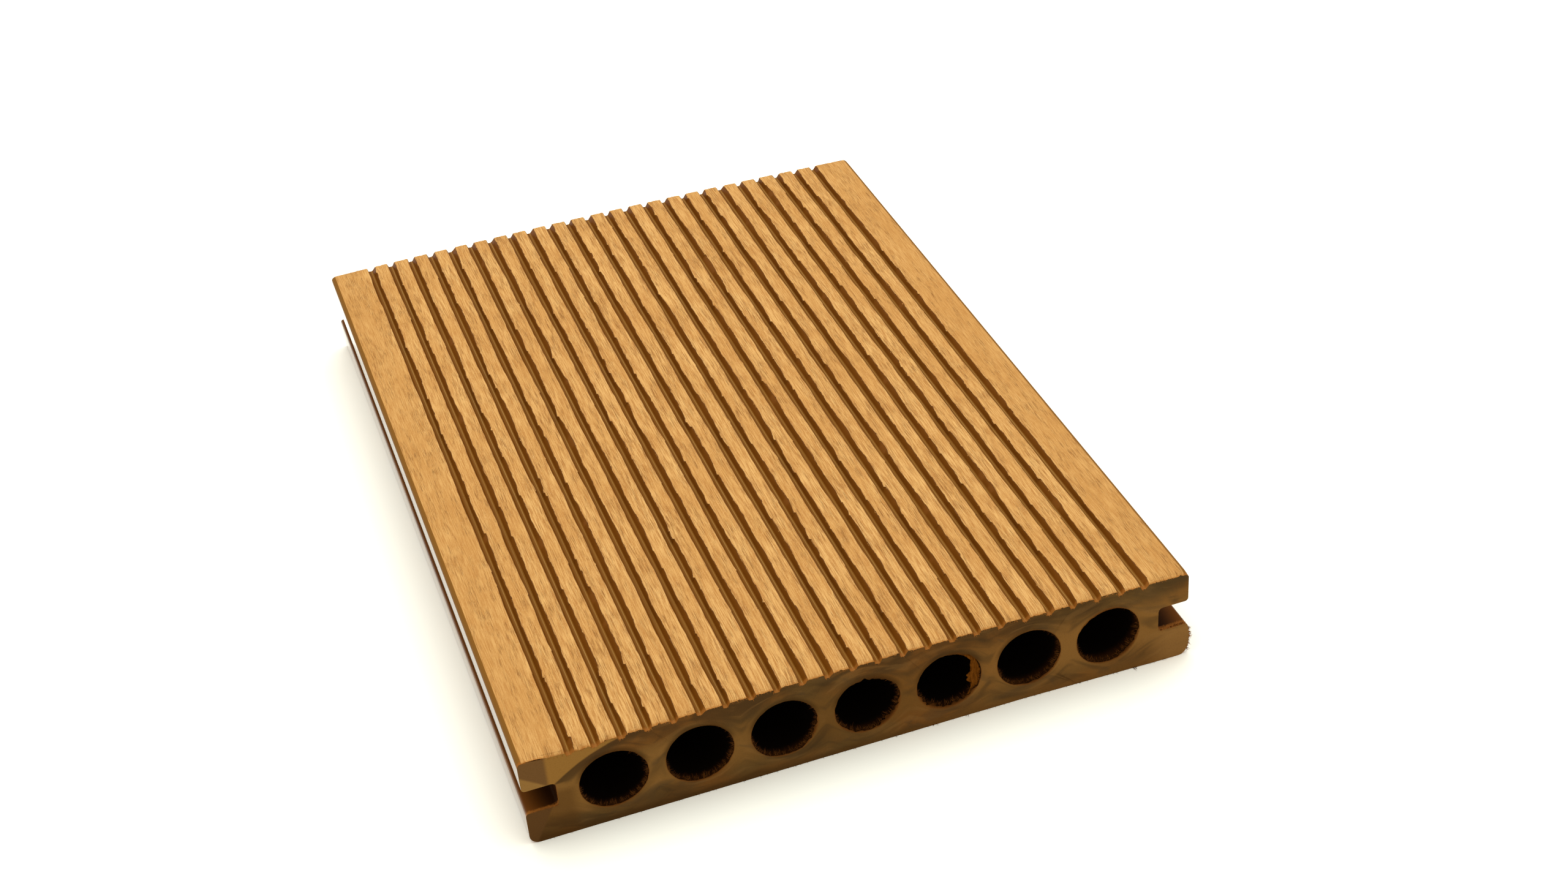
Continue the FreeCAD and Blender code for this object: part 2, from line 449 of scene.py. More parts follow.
# How far the near end's top is rolled down at places across the board, in millimetres
ROLL_PLACES = (-73, -68.5, -66, -62, -58, -54, -48, -44, -30, 73)
ROLL_DEPTHS = (0.1, 0.2, 1.15, 1.1, 1.0, 0.85, 0.7, 0.65, 0.6, 0.6)
FAR_ROLL = 0.2 * MM
ROLL_RAGGEDNESS = 0.55
ROLL_SHIFT = 0.22 * MM
# How far each cut drifts along the board for every metre across it
CUT_SLANT = 0.0075
# The burr that the saw has pushed out of the lower lip at the near right corner
LIP_BURR = 0.8 * MM
LIP_BURR_LENGTH = 2.0 * MM
LIP_BURR_WIDTH = 1.5 * MM
LIP_BURR_LOW = 0.9 * MM
LIP_BURR_HEIGHT = 6.8 * MM
# The near cut leans: how far its foot stands out at places across the board, in millimetres
FOOT_PLACES = (-73, 34, 64, 73)
FOOT_DEPTHS = (0.2, 0.2, 0.9, 0.85)
FOOT_LENGTH = 2.0 * MM
print("arcs of burr at the near end:", sum(len(arcs) for arcs in NEAR_BURRS))


# %% Functions for the burrs and the wear
def burr_depth(number, angle, along):
    """How far the burr stands into one bore at this angle, on the near or the far rim."""
    degrees = math.degrees(angle)
    arcs = NEAR_BURRS[number] if along < 0 else ((-130 + 4 * number, 10 - 6 * number, 0.7),)
    height = 0.12 * MM
    for start, end, depth in arcs:
        share = (degrees - start) / (end - start)
        if 0 < share < 1:
            height = max(height, depth * MM * math.sin(math.pi * share) ** 0.6)
    seed = 11.0 * number + (0.0 if along < 0 else 5.0)
    coarse = noise.noise(Vector((degrees / 11, seed, 0)))
    fine = noise.noise(Vector((degrees / 2.2, seed, 4)))
    comb = max(0.16 * height, 0.12 * MM if -170 < degrees < 10 else 0.06 * MM)
    stand = height * max(0.0, 0.6 + RAGGEDNESS[number] * coarse)
    return BURR_LEAST + stand + comb * max(0.0, fine + 0.1)


def settle(across, along, up):
    """Move a place of the perfect board to where it lies on the worn and sawn one."""
    inside = min(along - NEAR_END, FAR_END - along)
    if up > CROWN_START:
        share = (up - CROWN_START) / (THICKNESS - CROWN_START)
        up += share * (CROWN_MIDDLE - CROWN * (across / HALF_WIDTH) ** 2)
        if inside < ROLL_LENGTH:
            roll = FAR_ROLL if along > 0 else np.interp(across / MM, ROLL_PLACES, ROLL_DEPTHS) * MM
            ragged = noise.noise(Vector((across / (0.7 * MM), 2.0 if along > 0 else 8.0, 0)))
            roll *= 1 + ROLL_RAGGEDNESS * ragged
            fade = share ** 6 * (1 - inside / ROLL_LENGTH) ** 2
            up -= roll * fade
            along -= math.copysign(ROLL_SHIFT * ragged * fade, along)
    lip_share = (up - LIP_BURR_LOW) / LIP_BURR_HEIGHT
    at_lip = across > HALF_WIDTH - LIP_BURR_WIDTH and 0 < lip_share < 1
    if at_lip and along - NEAR_END < LIP_BURR_LENGTH:
        ragged = 0.8 + 0.9 * noise.noise(Vector((up / (0.8 * MM), 1.0, 0)))
        bulge = math.sin(math.pi * lip_share ** 1.3) * ragged * (1 - inside / LIP_BURR_LENGTH) ** 2
        across += LIP_BURR * bulge
    if along - NEAR_END < FOOT_LENGTH:
        fade = (1 - up / THICKNESS) * (1 - inside / FOOT_LENGTH) ** 2
        along -= np.interp(across / MM, FOOT_PLACES, FOOT_DEPTHS) * MM * fade
    return Vector((across, along - CUT_SLANT * across, up))


# %% Move every vertex to its worn place
# The rib edges lie this far below the top at most, and this far from the middle of their groove
RIB_EDGE_DEPTH = 0.3 * MM
RIB_EDGE_NEAREST = 0.8 * MM
RIB_EDGE_FARTHEST = 1.6 * MM
# Size, height and seed of the waves in the sawn faces
SAWN_WAVES = ((6.0 * MM, 0.10 * MM, 3), (1.5 * MM, 0.05 * MM, 5))
edge_creep = board.verts.layers.float.new("edge_creep")
for vert in board.verts:
    across, along, up = vert.co
    if up > THICKNESS - RIB_EDGE_DEPTH and abs(across) < HALF_WIDTH - EDGE_BAND:
        groove = min(max(round((across - FIRST_GROOVE) / GROOVE_PITCH), 0), GROOVE_COUNT - 1)
        offset = across - GROOVE_PLACES[groove]
        if RIB_EDGE_NEAREST < abs(offset) < RIB_EDGE_FARTHEST:
            side = 1 if offset > 0 else -1
            index = min(range(len(SLICE_PLACES)), key=lambda i: abs(SLICE_PLACES[i] - along))
            creep, slide = edge_plans[groove, side]
            across -= side * creep[index]
            along += slide[index]
            vert[edge_creep] = creep[index] / MM
    number, distance, angle = bore_offset(across, up)
    from_end = min(along - NEAR_END, FAR_END - along)
    if distance < BORE_RADIUS + SAME_PLACE and from_end < RIM_STEPS[3] - SAME_PLACE:
        radius = BORE_RADIUS - burr_depth(number, angle, along) * (1 - from_end / RIM_STEPS[3]) ** 2
        across = BORE_PLACES[number] + radius * math.cos(angle)
        up = BORE_HEIGHT + radius * math.sin(angle)
    if from_end < SAME_PLACE:
        for size, height, seed in SAWN_WAVES:
            along += height * noise.noise(Vector((across / size, up / size, seed)))
    vert.co = settle(across, along, up)
print("tallest point:", round(max(vert.co.z for vert in board.verts) / MM, 2), "mm")

# %% [markdown]
# ## Make the board an object
#
# A bmesh is only a drawing; a mesh and an object put it into the scene. The faces are shaded smooth, so
# edges that turn by more than a set angle are marked sharp afterwards. The object stays at the origin,
# unturned, and rides on the body that it is parented to; the solid model's board is hidden.

# %% Make the board an object
SHARP_ANGLE = math.radians(20)


def make_piece(name, bm):
    """Turn a bmesh into an object that rides on the board's body."""
    mesh = bpy.data.meshes.new(name)
    bm.to_mesh(mesh)
    bm.free()
    piece = bpy.data.objects.new(name, mesh)
    bpy.context.scene.collection.objects.link(piece)
    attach(piece, "root")
    return piece


decking_board = make_piece("decking_board", board)
decking_board.data.set_sharp_from_angle(angle=SHARP_ANGLE)
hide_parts("board")
print(decking_board.name, len(decking_board.data.polygons), "faces")

# %% [markdown]
# ## Loose fibres
#
# The saw and the brush pull fibres out of the plastic. One fibre is a thin cone cut into three lengths,
# so that it can bend. All fibres are copies of that cone, placed with array arithmetic and joined into
# one mesh, since thousands of separate objects would be slow. Every fibre is planted where its edge
# really is, stands in a tuft with its neighbours and carries a tint of its own, which its material
# reads.

# %% Make one fibre and a way to plant many
template = bmesh.new()
bmesh.ops.create_cone(template, cap_ends=True, segments=3, radius1=1.0, radius2=0.15, depth=1.0,
                      matrix=Matrix.Translation((0, 0, 0.5)))
for cut in (0.35, 0.7):
    everything = template.verts[:] + template.edges[:] + template.faces[:]
    bmesh.ops.bisect_plane(template, geom=everything, plane_co=(0, 0, cut), plane_no=(0, 0, 1))
bmesh.ops.triangulate(template, faces=template.faces[:])
bmesh.ops.recalc_face_normals(template, faces=template.faces[:])
template.verts.index_update()
FIBRE_VERTS = np.array([vert.co[:] for vert in template.verts])
FIBRE_FACES = np.array([[vert.index for vert in face.verts] for face in template.faces])
template.free()
print("one fibre:", len(FIBRE_VERTS), "vertices,", len(FIBRE_FACES), "faces")


def plant(name, stems):
    """Join one bent fibre for each stem: (root, direction, length, radius, bend, tint)."""
    places = []
    faces = []
    tints = []
    for number, (root, direction, length, radius, bend, tint) in enumerate(stems):
        direction = direction.normalized()
        side = direction.orthogonal().normalized()
        front = direction.cross(side)
        along = FIBRE_VERTS[:, 2:3]
        spread = FIBRE_VERTS[:, 0:1] * np.array(side) + FIBRE_VERTS[:, 1:2] * np.array(front)
        places.append(np.array(root) + spread * radius + along * length * np.array(direction)
                      + along ** 2 * np.array(bend))
        faces.append(FIBRE_FACES + number * len(FIBRE_VERTS))
        tints += [tint] * len(FIBRE_VERTS)
    mesh = bpy.data.meshes.new(name)
    mesh.from_pydata(np.concatenate(places), [], np.concatenate(faces))
    mesh.attributes.new("tint", "FLOAT", "POINT").data.foreach_set("value", tints)
    mesh.shade_smooth()
    piece = bpy.data.objects.new(name, mesh)
    bpy.context.scene.collection.objects.link(piece)
    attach(piece, "root")
    print(name, len(stems), "fibres")
    return piece


# %% A function for one random fibre
dice = random.Random(41)


def stem(place, direction, least, most, thickness, wild, pale=0.0):
    """One fibre with a random length, bend and tint, rooted at a place of the perfect board."""
    length = dice.uniform(least, most) * MM
    turned = Vector(direction).normalized() + wild * Vector([dice.uniform(-1, 1) for _ in range(3)])
    bend = Vector([dice.uniform(-0.5, 0.5) for _ in range(3)]) * length
    radius = thickness * dice.uniform(0.6, 1.3) * MM
    tint = pale + dice.uniform(0.0, 0.45)
    return settle(*place), turned, length, radius, bend, tint


# %% Grow the fibres round the bores and along the cut top
NEAR_TRIES = 1100
FAR_TRIES = 300
FRINGE_STEMS = 520
# How wide one tuft is, in degrees round a bore
TUFT_SIZE = 7.0
torn_stems = []
for end, outward in ((NEAR_END, -1), (FAR_END, 1)):
    for number, place in enumerate(BORE_PLACES):
        for _ in range(NEAR_TRIES if end == NEAR_END else FAR_TRIES):
            angle = math.radians(dice.uniform(-178, 60))
            depth = burr_depth(number, angle, end)
            tuft = noise.noise(Vector((math.degrees(angle) / TUFT_SIZE, 5.0 * number, 9)))
            if math.degrees(angle) > 5 and dice.random() > 0.2 + depth / (1.2 * MM):
                continue
            if dice.random() > 0.55 + 1.6 * tuft:
                continue
            radius = BORE_RADIUS - depth * dice.uniform(0.3, 1.0)
            root = (place + radius * math.cos(angle), end - outward * dice.uniform(0.05, 0.9) * MM,
                    BORE_HEIGHT + radius * math.sin(angle))
            inward = (-math.cos(angle), -outward * 0.5, -math.sin(angle))
            torn_stems.append(stem(root, inward, 0.25, 0.8 + 0.5 * tuft, 0.05, 0.3))
    for _ in range(FRINGE_STEMS):
        across = dice.uniform(-HALF_WIDTH + 2 * MM, HALF_WIDTH - 2 * MM)
        groove = min(max(round((across - FIRST_GROOVE) / GROOVE_PITCH), 0), GROOVE_COUNT - 1)
        offset = abs(across - GROOVE_PLACES[groove])
        slope_width = (GROOVE_WIDTH - GROOVE_FLOOR_WIDTH) / 2
        rise = min(max((offset - GROOVE_FLOOR_WIDTH / 2) / slope_width, 0.0), 1.0)
        root = (across, end, THICKNESS - GROOVE_DEPTH * (1 - rise) - 0.05 * MM)
        torn_stems.append(stem(root, (0, outward, -0.5), 0.12, 0.32, 0.07, 0.5, pale=0.55))
print("fibres round the bores and along the top:", len(torn_stems))

# %% Grow the fibres of the lips, the slots and the foot, and plant them all
LIP_STEMS = 200
RIGHT_SLOT_STEMS = 70
LEFT_SLOT_STEMS = 150
FOOT_STEMS = 120
# Where long single fibres hang out of the foot, in millimetres across the board
LONG_STEM_PLACES = (14.2, 15.0, 21.6, 22.1, 60.3, 60.7, 67.2, 67.6)
for _ in range(LIP_STEMS):
    root = (HALF_WIDTH - dice.uniform(0.0, 0.5) * MM, NEAR_END + dice.uniform(0.0, 0.6) * MM,
            dice.uniform(0.8, 7.4) * MM)
    torn_stems.append(stem(root, (0.9, -0.2, -0.45), 0.3, 0.8, 0.09, 0.3, pale=0.25))
for _ in range(RIGHT_SLOT_STEMS):
    root = (SLOT_ROOT + dice.uniform(0.1, 6.4) * MM, NEAR_END + dice.uniform(0.0, 0.2) * MM,
            SLOT_LOW - 0.05 * MM)
    torn_stems.append(stem(root, (-0.1, -0.5, 1.0), 0.5, 1.15, 0.15, 0.35, pale=0.4))
for _ in range(LEFT_SLOT_STEMS):
    root = (-SLOT_ROOT - dice.uniform(0.2, 6.0) * MM, NEAR_END, SLOT_LOW)
    torn_stems.append(stem(root, (0.1, -0.3, 0.6), 0.15, 0.4, 0.06, 0.4, pale=0.3))
for _ in range(FOOT_STEMS):
    root = (dice.uniform(-70, 71) * MM, NEAR_END, 0.1 * MM)
    torn_stems.append(stem(root, (0, -1.0, 0.05), 0.1, 0.45, 0.06, 0.35))
for across in LONG_STEM_PLACES:
    torn_stems.append(stem((across * MM, NEAR_END, 0.2 * MM), (0, -1.0, 0.0), 0.5, 0.9, 0.09, 0.2))
torn_fibres = plant("torn_fibres", torn_stems)

# %% Plant the burrs of the rib edges
burr_stems = []
for groove, side, tip in teeth:
    if dice.random() > 0.5:
        continue
    creep = edge_plans[groove, side][0][tip]
    across = GROOVE_PLACES[groove] + side * (GROOVE_WIDTH / 2 - creep + 0.05 * MM)
    root = (across, SLICE_PLACES[tip], THICKNESS - 0.06 * MM)
    burr_stems.append(stem(root, (-side * 0.7, -1.0, 0.0), 0.15, 0.6, 0.07, 0.5))
rib_burrs = plant("rib_burrs", burr_stems)

# %% [markdown]
# ## The torn flap
#
# In the fifth bore the blade has pulled a shred of the wall loose. It could be part of the rim, but the
# real shred stands clear of the wall with a dark line behind it. A bent grid follows the wall. Its width
# comes from a short table of angles, its inner edge is roughened at random, and solidify gives it a
# thickness.

# %% Bend a grid into the torn flap
FLAP_BORE = 4
FLAP_THICKNESS = 0.35 * MM
# Angles round the bore in degrees, and how far the flap stands into the opening there, in millimetres
FLAP_ANGLES = (-68, -50, -34, -24, -17, -3, 3, 8, 28, 38, 60, 82)
FLAP_WIDTHS = (0.3, 0.9, 1.4, 1.9, 3.0, 3.3, 3.2, 2.6, 1.85, 0.95, 0.55, 0.1)
FLAP_GAP = 0.25 * MM
# Where the gap behind the flap is widest and how far it reaches to each side, in degrees
GAP_MIDDLE = 4.0
GAP_SPREAD = 38.0
flap = bmesh.new()
bmesh.ops.create_grid(flap, x_segments=100, y_segments=6, size=0.5)
for vert in flap.verts:
    degrees = FLAP_ANGLES[0] + (FLAP_ANGLES[-1] - FLAP_ANGLES[0]) * (vert.co.x + 0.5)
    inward = vert.co.y + 0.5
    angle = math.radians(degrees)
    ragged = 1 + 0.14 * noise.noise(Vector((degrees / 9, 0, 0)))
    ragged += 0.16 * noise.noise(Vector((degrees / 3, 4, 0)))
    width = np.interp(degrees, FLAP_ANGLES, FLAP_WIDTHS) * MM * ragged
    gap = FLAP_GAP * (1 - ((degrees - GAP_MIDDLE) / GAP_SPREAD) ** 2)
    outer = BORE_RADIUS - max(gap, -0.1 * MM)
    radius = outer + inward * (BORE_RADIUS - width - outer)
    depth = (0.32 - 0.14 * inward + 0.25 * noise.noise(Vector((degrees / 22, inward * 2, 7)))) * MM
    vert.co = settle(BORE_PLACES[FLAP_BORE] + radius * math.cos(angle), NEAR_END + depth,
                     BORE_HEIGHT + radius * math.sin(angle))
bmesh.ops.solidify(flap, geom=flap.faces[:], thickness=FLAP_THICKNESS)
bmesh.ops.recalc_face_normals(flap, faces=flap.faces[:])
for face in flap.faces:
    face.smooth = True
torn_flap = make_piece("torn_flap", flap)
print(torn_flap.name, len(torn_flap.data.polygons), "faces")

# %% [markdown]
# ## Materials
#
# Every pattern is made from noise on the object's own coordinates, counted in millimetres. Stretching
# the noise along the board gives brush streaks and die lines. The small class below only shortens the
# wiring: each method adds a node or two and hands back the output. Colours are written as the screen
# shows them, from 0 to 255. Most materials start from one colour and then lay others over it, each where
# its own mask allows and only in part.

# %% A short way to wire materials
def paint(red, green, blue):
    """Turn a colour as the screen shows it into the linear values that shaders use."""
    linear = []
    for value in (red, green, blue):
        value /= 255
        linear.append(value / 12.92 if value <= 0.04045 else ((value + 0.055) / 1.055) ** 2.4)
    return (*linear, 1.0)


class Recipe:
    """One material's node tree, built node by node."""

    def __init__(self, name, surface_roughness, gloss):
        self.material = bpy.data.materials.new(name)
        self.material.use_nodes = True
        self.tree = self.material.node_tree
        self.shader = self.tree.nodes["Principled BSDF"]
        self.shader.inputs["Roughness"].default_value = surface_roughness
        self.shader.inputs["Specular IOR Level"].default_value = gloss
        place = self.add("ShaderNodeTexCoord").outputs["Object"]
        scaled = self.add("ShaderNodeVectorMath", (place, None, None, 1 / MM), operation="SCALE")
        self.place = scaled.outputs[0]
        axes = self.add("ShaderNodeSeparateXYZ", (self.place,)).outputs
        self.across, self.along, self.up = axes

    def add(self, kind, values=(), **settings):
        """Add a node, set its properties and fill its inputs in order with values or links."""
        node = self.tree.nodes.new(kind)
        for key, value in settings.items():
            setattr(node, key, value)
        for socket, value in zip(node.inputs, values):
            self.plug(socket, value)
        return node

    def plug(self, socket, value):
        """Link an output to a socket, or write a value into it."""
        if isinstance(value, bpy.types.NodeSocket):
            self.tree.links.new(value, socket)
        elif value is not None:
            socket.default_value = value

    def math(self, operation, first, second=0.0, third=0.0):
        """One step of arithmetic."""
        return self.add("ShaderNodeMath", (first, second, third), operation=operation).outputs[0]

    def both(self, first, second):
        """A mask that is 1 only where two masks are."""
        return self.math("MULTIPLY", first, second)

    def far(self, sideways, upwards):
        """How far two steps at right angles lead together."""
        squares = [self.math("MULTIPLY", step, step) for step in (sideways, upwards)]
        return self.math("SQRT", self.math("ADD", *squares))

    def noise(self, size, detail=2.0, roughness=0.5, distortion=0.0, shift=0.0, place=None):
        """Noise whose blobs have this size in millimetres across, along and up."""
        scale = [1 / value for value in size]
        start = place or self.place
        mapping = self.add("ShaderNodeMapping", (start, (shift, shift, shift), None, scale))
        texture = self.add("ShaderNodeTexNoise")
        self.plug(texture.inputs["Vector"], mapping.outputs[0])
        for name, value in (("Scale", 1.0), ("Detail", detail), ("Roughness", roughness),
                            ("Distortion", distortion)):
            self.plug(texture.inputs[name], value)
        return texture.outputs[0]

    def ramp(self, value, start, end):
        """A smooth step from 0 at start to 1 at end."""
        node = self.add("ShaderNodeMapRange", (value, start, end), interpolation_type="SMOOTHSTEP")
        return node.outputs[0]

    def blend(self, factor, first, second):
        """Mix two colours."""
        node = self.add("ShaderNodeMix", data_type="RGBA")
        for index, value in ((0, factor), (6, first), (7, second)):
            self.plug(node.inputs[index], value)
        return node.outputs[2]

    def lay(self, colour, mask, share, other):
        """Lay part of another colour over a colour where the mask is 1."""
        return self.blend(self.math("MULTIPLY", mask, share), colour, other)

    def surface(self, colour, height=None, depth=0.0):
        """Give the shader its colour and, from a height, its fine relief in metres."""
        self.plug(self.shader.inputs["Base Color"], colour)
        if height is not None:
            bump = self.add("ShaderNodeBump")
            bump.inputs["Strength"].default_value = 1.0
            bump.inputs["Distance"].default_value = depth
            self.plug(bump.inputs["Height"], height)
            self.plug(self.shader.inputs["Normal"], bump.outputs[0])
        print(self.material.name, "nodes:", len(self.tree.nodes))
        return self.material


# %% [markdown]
# ### Ends and edges of the ribs
#
# Two masks serve several materials. One finds the last millimetre before the near cut, where the saw has
# torn the surface open. The other measures how far a place lies inside the nearest rib edge: the
# distance from the middle of the nearest groove, less half the groove's width, put right by the edge's
# own drift.

# %% Masks shared by several materials
TORN = paint(160, 98, 36)
WALL_COLOUR = paint(126, 72, 14)


def torn_end(recipe, reach):
    """A mask that reaches 1 where the saw has torn the surface; reach is its length in millimetres."""
    cut = recipe.math("MULTIPLY_ADD", recipe.across, CUT_SLANT, recipe.along)
    nearness = recipe.math("SUBTRACT", NEAR_END / MM + reach, cut)
    return recipe.ramp(recipe.math("ADD", nearness, recipe.noise((0.4, 0.4, 0.4), shift=60)), 0.3, 1.0)


def groove_offset(recipe):
    """How far a place lies to the right of the nearest groove's middle."""
    offset = recipe.math("SUBTRACT", recipe.across, FIRST_GROOVE / MM)
    return recipe.math("WRAP", offset, GROOVE_PITCH / MM / 2, -GROOVE_PITCH / MM / 2)


def inside_rib(recipe):
    """How far a place lies inside the nearest rib edge, and how deep the nicks are, in millimetres."""
    offset = groove_offset(recipe)
    creep = recipe.add("ShaderNodeAttribute", attribute_name="edge_creep").outputs["Fac"]
    inside = recipe.math("ADD", recipe.math("ABSOLUTE", offset), creep)
    inside = recipe.math("SUBTRACT", inside, GROOVE_WIDTH / MM / 2)
    last_rib = GROOVE_PLACES[-1] / MM + GROOVE_PITCH / MM / 2
    beside_ribs = recipe.math("GREATER_THAN", recipe.math("ABSOLUTE", recipe.across), last_rib)
    inside = recipe.math("MULTIPLY_ADD", beside_ribs, GROOVE_PITCH / MM, inside)
    torn_side = recipe.math("GREATER_THAN", offset, 0.0)
    nicks = recipe.ramp(recipe.noise((0.6, 1.8, 0.6), detail=3, roughness=0.6, shift=7), 0.48, 0.76)
    depth = recipe.math("MULTIPLY", nicks, recipe.math("MULTIPLY_ADD", torn_side, 0.12, 0.03))
    return inside, depth


# %% [markdown]
# ### Brushed top
#
# Broad patches shift the caramel colour a little, and the plain bands along the edges are a touch
# darker. Streaks of two sizes run along the board, and where both a fine streak and a patch of wear
# meet, short dark dashes show the fibres that the brush has opened. Pale crumbs lie between them. Fine
# nicks in the rib edges are painted in the dark colour of the shaded groove walls, as painted shade,
# and the last half millimetre before the cut is torn.

# %% Brushed material: patches, streaks and crumbs
brushed = Recipe("brushed_composite", 0.65, 0.12)
patches = brushed.noise((5, 16, 5), detail=3)
streaks = brushed.noise((0.22, 5.0, 2.0), detail=3, roughness=0.6)
hairs = brushed.noise((0.09, 4.2, 2.0), detail=2, roughness=0.6, shift=40)
crumbs = brushed.noise((0.3, 0.45, 0.3), detail=3, roughness=0.7, shift=120)
wear = brushed.noise((1.3, 9.0, 4.0), detail=2, shift=80)
colour = brushed.blend(brushed.ramp(patches, 0.32, 0.68), paint(218, 162, 88), paint(235, 183, 108))
colour = brushed.blend(brushed.ramp(streaks, 0.34, 0.66), paint(193, 134, 66), colour)
colour = brushed.lay(colour, brushed.ramp(crumbs, 0.52, 0.68), 0.35, paint(240, 190, 120))
colour = brushed.lay(colour, brushed.ramp(crumbs, 0.44, 0.30), 0.25, paint(206, 140, 62))
edge_band = brushed.ramp(brushed.math("ABSOLUTE", brushed.across), 63.5, 65.0)
colour = brushed.lay(colour, edge_band, 0.3, paint(202, 144, 72))

# %% Brushed material: opened fibres, nicks and torn ends
dashes = brushed.both(brushed.ramp(hairs, 0.54, 0.64), brushed.ramp(wear, 0.42, 0.58))
colour = brushed.lay(colour, dashes, 0.65, paint(136, 80, 26))
flecks = brushed.both(brushed.ramp(hairs, 0.35, 0.25), brushed.ramp(wear, 0.52, 0.64))
colour = brushed.lay(colour, flecks, 0.6, paint(248, 208, 148))
inside, nick = inside_rib(brushed)
# Painted shade: the nicks take the dark colour that the shaded groove walls show
shaded_nick = brushed.ramp(brushed.math("SUBTRACT", inside, nick), 0.03, -0.02)
colour = brushed.blend(shaded_nick, colour, paint(112, 66, 22))
colour = brushed.lay(colour, torn_end(brushed, 0.4), 0.85, paint(180, 114, 44))
relief = brushed.math("ADD", streaks, brushed.math("MULTIPLY", hairs, 0.5))
relief = brushed.math("SUBTRACT", relief, dashes)
relief = brushed.math("SUBTRACT", relief, brushed.math("MULTIPLY", shaded_nick, 2.0))
brushed_material = brushed.surface(colour, relief, 0.03 * MM)

# %% [markdown]
# ### Extruded skin
#
# The die leaves fine straight lines that run the whole length. The skin is darker than the brushed top.
# A clear coat over it stands for its gloss: the coat mirrors the floor where the skin is seen at a flat
# angle. In the slots and on the rounded edge under the brushed top the skin is dull and has no coat, and
# in the slots it is also painted darker inwards, as painted shade. The saw has torn the skin open next
# to the ends.

# %% Skin material
GLOSSY = 0.14
skin = Recipe("extruded_skin", GLOSSY, 0.03)
die_lines = skin.noise((0.25, 90, 0.25), detail=3, roughness=0.6)
cloud = skin.noise((5, 22, 5), detail=2, shift=20)
colour = skin.blend(skin.ramp(die_lines, 0.3, 0.7), paint(116, 68, 16), paint(138, 86, 26))
colour = skin.blend(skin.ramp(cloud, 0.35, 0.7), colour, paint(104, 56, 14))
in_slot = skin.ramp(skin.math("ABSOLUTE", skin.across), HALF_WIDTH / MM - 0.1, HALF_WIDTH / MM - 0.6)
from_middle = skin.math("ABSOLUTE", skin.math("SUBTRACT", skin.up, THICKNESS / MM / 2))
in_slot = skin.both(in_slot, skin.ramp(from_middle, SLOT_HEIGHT / MM, SLOT_HEIGHT / MM - 1))
# Painted shade: the skin in the slots is painted darker towards the root
slot_shade = skin.ramp(skin.math("ABSOLUTE", skin.across), HALF_WIDTH / MM - 0.6, SLOT_ROOT / MM + 1.0)
colour = skin.blend(in_slot, colour, skin.blend(slot_shade, paint(116, 66, 18), paint(54, 27, 4)))
rubbed = skin.ramp(skin.up, 20.3, 20.9)
colour = skin.blend(rubbed, colour, paint(138, 92, 34))
dull = skin.math("MAXIMUM", in_slot, rubbed)
skin.plug(skin.shader.inputs["Roughness"], skin.math("MULTIPLY_ADD", dull, 0.4, GLOSSY))
skin.plug(skin.shader.inputs["Coat Weight"], skin.math("SUBTRACT", 1.0, dull))
skin.shader.inputs["Coat Roughness"].default_value = 0.06
skin.shader.inputs["Coat IOR"].default_value = 1.35
colour = skin.blend(torn_end(skin, 0.7), colour, TORN)
DIE_LINE_DEPTH = 0.012 * MM
skin_material = skin.surface(colour, die_lines, DIE_LINE_DEPTH)

# %% [markdown]
# ### Inside the grooves
#
# The same skin lies in the grooves, but the brush has dulled it. The floor is painted paler than the
# walls towards its right, as painted light, and carries one broken painted highlight line. Crumbs of the
# brushed top hang over the upper edge of the walls: they are painted where a noise reaches past the rib
# edge, so the material needs the edge's drift as the brushed one does.

# %% Groove material
groove_skin = Recipe("groove_skin", 0.45, 0.06)
offset = groove_offset(groove_skin)
die_lines = groove_skin.noise((0.15, 60, 0.15), detail=3, roughness=0.6)
wall = groove_skin.ramp(groove_skin.math("ABSOLUTE", offset), 0.40, 0.50)
# Painted light: the groove floor is painted lighter towards its right
colour = groove_skin.blend(groove_skin.ramp(offset, -0.4, 0.3), paint(122, 72, 10), paint(142, 94, 28))
colour = groove_skin.blend(groove_skin.ramp(die_lines, 0.40, 0.30), colour, paint(112, 67, 12))
# Painted highlight: one broken bright line along the groove floor
from_line = groove_skin.math("ABSOLUTE", groove_skin.math("SUBTRACT", offset, 0.20))
painted_highlight = groove_skin.ramp(from_line, 0.10, 0.03)
painted_highlight = groove_skin.both(painted_highlight, groove_skin.ramp(die_lines, 0.35, 0.62))
colour = groove_skin.lay(colour, painted_highlight, 0.5, paint(206, 164, 98))
colour = groove_skin.blend(wall, colour, WALL_COLOUR)
inside, nick = inside_rib(groove_skin)
crumbs = groove_skin.ramp(groove_skin.noise((0.6, 1.2, 0.6), detail=2, shift=19), 0.56, 0.76)
hanging = groove_skin.ramp(groove_skin.math("MULTIPLY_ADD", crumbs, 0.16, inside), -0.02, 0.04)
colour = groove_skin.blend(hanging, colour, paint(206, 146, 72))
colour = groove_skin.lay(colour, torn_end(groove_skin, 0.9), 0.8, TORN)
groove_material = groove_skin.surface(colour, die_lines, DIE_LINE_DEPTH)

# %% [markdown]
# ### Sawn face
#
# The cut face shows how the hot mass flowed round the bores: cloudy bands of olive and brown that bend
# with the openings, a darker layer under the walking face, another along the foot, and paler webs. The
# face grows paler from left to right, up to the lower right lip; right of the middle, below the walking
# face, this is painted light. The bands are noise on a bent place, whose height is that of a stream line
# round a cylinder.

# %% Sawn material: streams that bend round the bores
sawn = Recipe("sawn_composite", 0.85, 0.02)
beyond_bores = sawn.math("SUBTRACT", sawn.math("ABSOLUTE", sawn.across), BORE_PLACES[-1] / MM)
sideways = sawn.math("MAXIMUM", sawn.math("PINGPONG", sawn.across, BORE_PITCH / MM / 2), beyond_bores)
upwards = sawn.math("SUBTRACT", sawn.up, BORE_HEIGHT / MM)
distance = sawn.far(sideways, upwards)
